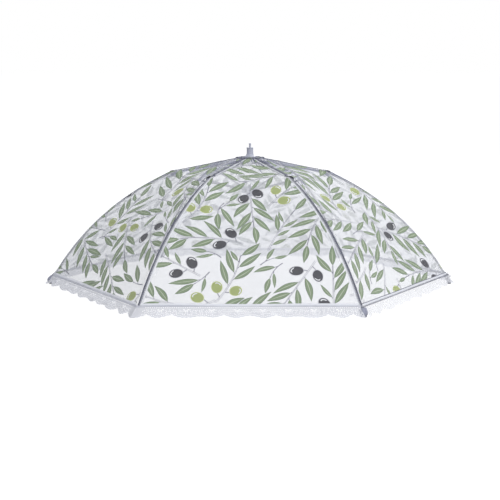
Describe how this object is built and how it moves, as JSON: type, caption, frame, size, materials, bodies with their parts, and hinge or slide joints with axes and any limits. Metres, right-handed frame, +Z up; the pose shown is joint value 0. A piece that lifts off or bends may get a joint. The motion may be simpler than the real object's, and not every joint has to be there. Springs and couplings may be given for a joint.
{
  "type": "mesh food cover umbrella",
  "caption": "Folding dome of printed net on bowed wire ribs, with a lace hem, that stands over food and folds up like an umbrella.",
  "frame": {"origin": "on the table, below the crown", "axes": "+Z up along the dome's axis, +X towards rib 1"},
  "size_m": [0.6648, 0.5774, 0.2314],
  "materials": {
    "hub_plastic": "moulded, satin",
    "cap_plastic": "moulded, satin gloss",
    "centre_pin_steel": "plain steel",
    "tie_wire_steel": "drawn wire",
    "rib_steel": "grey coated wire",
    "stretcher_steel": "drawn wire",
    "clip_steel": "black coated sheet",
    "tip_plastic": "moulded, matte",
    "printed_net": "fine white net with a printed sprig pattern",
    "lace": "white polyester lace"
  },
  "bodies": {
    "crown": {"crown_hub": "hub_plastic", "crown_ring": "tie_wire_steel", "top_cap": "cap_plastic", "centre_pin": "centre_pin_steel"},
    "rib_1": {"rib_1": "rib_steel", "rib_clip_1": "clip_steel", "clip_pin_1": "tie_wire_steel", "rib_tip_1": "tip_plastic", "canopy_panel_1": "printed_net", "lace_1": "lace"},
    "rib_2": {"rib_2": "rib_steel", "rib_clip_2": "clip_steel", "clip_pin_2": "tie_wire_steel", "rib_tip_2": "tip_plastic", "canopy_panel_2": "printed_net", "lace_2": "lace"},
    "rib_3": {"rib_3": "rib_steel", "rib_clip_3": "clip_steel", "clip_pin_3": "tie_wire_steel", "rib_tip_3": "tip_plastic", "canopy_panel_3": "printed_net", "lace_3": "lace"},
    "rib_4": {"rib_4": "rib_steel", "rib_clip_4": "clip_steel", "clip_pin_4": "tie_wire_steel", "rib_tip_4": "tip_plastic", "canopy_panel_4": "printed_net", "lace_4": "lace"},
    "rib_5": {"rib_5": "rib_steel", "rib_clip_5": "clip_steel", "clip_pin_5": "tie_wire_steel", "rib_tip_5": "tip_plastic", "canopy_panel_5": "printed_net", "lace_5": "lace"},
    "rib_6": {"rib_6": "rib_steel", "rib_clip_6": "clip_steel", "clip_pin_6": "tie_wire_steel", "rib_tip_6": "tip_plastic", "canopy_panel_6": "printed_net", "lace_6": "lace"},
    "stretcher_1": {"stretcher_1": "stretcher_steel"},
    "stretcher_2": {"stretcher_2": "stretcher_steel"},
    "stretcher_3": {"stretcher_3": "stretcher_steel"},
    "stretcher_4": {"stretcher_4": "stretcher_steel"},
    "stretcher_5": {"stretcher_5": "stretcher_steel"},
    "stretcher_6": {"stretcher_6": "stretcher_steel"},
    "runner": {"runner_hub": "hub_plastic", "runner_ring": "tie_wire_steel"}
  },
  "joints": [
    {"name": "rib_fold_1", "type": "hinge", "parent": "crown", "child": "rib_1", "pos_m": [0.0105, 0, 0.2034], "axis": [0, 1, 0], "range_deg": [0, 55], "deforming": ["canopy_panel_1", "lace_1"]},
    {"name": "rib_fold_2", "type": "hinge", "parent": "crown", "child": "rib_2", "pos_m": [0.00525, 0.00909, 0.2034], "axis": [-0.866, 0.5, 0], "range_deg": [0, 55], "deforming": ["canopy_panel_2", "lace_2"]},
    {"name": "rib_fold_3", "type": "hinge", "parent": "crown", "child": "rib_3", "pos_m": [-0.00525, 0.00909, 0.2034], "axis": [-0.866, -0.5, 0], "range_deg": [0, 55], "deforming": ["canopy_panel_3", "lace_3"]},
    {"name": "rib_fold_4", "type": "hinge", "parent": "crown", "child": "rib_4", "pos_m": [-0.0105, 0, 0.2034], "axis": [0, -1, 0], "range_deg": [0, 55], "deforming": ["canopy_panel_4", "lace_4"]},
    {"name": "rib_fold_5", "type": "hinge", "parent": "crown", "child": "rib_5", "pos_m": [-0.00525, -0.00909, 0.2034], "axis": [0.866, -0.5, 0], "range_deg": [0, 55], "deforming": ["canopy_panel_5", "lace_5"]},
    {"name": "rib_fold_6", "type": "hinge", "parent": "crown", "child": "rib_6", "pos_m": [0.00525, -0.00909, 0.2034], "axis": [0.866, 0.5, 0], "range_deg": [0, 55], "deforming": ["canopy_panel_6", "lace_6"]},
    {"name": "stretcher_turn_1", "type": "hinge", "parent": "rib_1", "child": "stretcher_1", "pos_m": [0.12141, 0, 0.17956], "axis": [0, 1, 0], "range_deg": [-110, 0]},
    {"name": "stretcher_turn_2", "type": "hinge", "parent": "rib_2", "child": "stretcher_2", "pos_m": [0.0607, 0.10514, 0.17956], "axis": [-0.866, 0.5, 0], "range_deg": [-110, 0]},
    {"name": "stretcher_turn_3", "type": "hinge", "parent": "rib_3", "child": "stretcher_3", "pos_m": [-0.0607, 0.10514, 0.17956], "axis": [-0.866, -0.5, 0], "range_deg": [-110, 0]},
    {"name": "stretcher_turn_4", "type": "hinge", "parent": "rib_4", "child": "stretcher_4", "pos_m": [-0.12141, 0, 0.17956], "axis": [0, -1, 0], "range_deg": [-110, 0]},
    {"name": "stretcher_turn_5", "type": "hinge", "parent": "rib_5", "child": "stretcher_5", "pos_m": [-0.0607, -0.10514, 0.17956], "axis": [0.866, -0.5, 0], "range_deg": [-110, 0]},
    {"name": "stretcher_turn_6", "type": "hinge", "parent": "rib_6", "child": "stretcher_6", "pos_m": [0.0607, -0.10514, 0.17956], "axis": [0.866, 0.5, 0], "range_deg": [-110, 0]},
    {"name": "runner_turn", "type": "hinge", "parent": "stretcher_1", "child": "runner", "pos_m": [0.0105, 0, 0.15573], "axis": [0, 1, 0], "range_deg": [0, 55]}
  ],
  "couplings": [
    {"joint": "rib_fold_2", "follows": "rib_fold_1", "ratio": 1},
    {"joint": "rib_fold_3", "follows": "rib_fold_1", "ratio": 1},
    {"joint": "rib_fold_4", "follows": "rib_fold_1", "ratio": 1},
    {"joint": "rib_fold_5", "follows": "rib_fold_1", "ratio": 1},
    {"joint": "rib_fold_6", "follows": "rib_fold_1", "ratio": 1},
    {"joint": "stretcher_turn_1", "follows": "rib_fold_1", "ratio": -2},
    {"joint": "stretcher_turn_2", "follows": "rib_fold_1", "ratio": -2},
    {"joint": "stretcher_turn_3", "follows": "rib_fold_1", "ratio": -2},
    {"joint": "stretcher_turn_4", "follows": "rib_fold_1", "ratio": -2},
    {"joint": "stretcher_turn_5", "follows": "rib_fold_1", "ratio": -2},
    {"joint": "stretcher_turn_6", "follows": "rib_fold_1", "ratio": -2},
    {"joint": "runner_turn", "follows": "rib_fold_1", "ratio": 1}
  ]
}
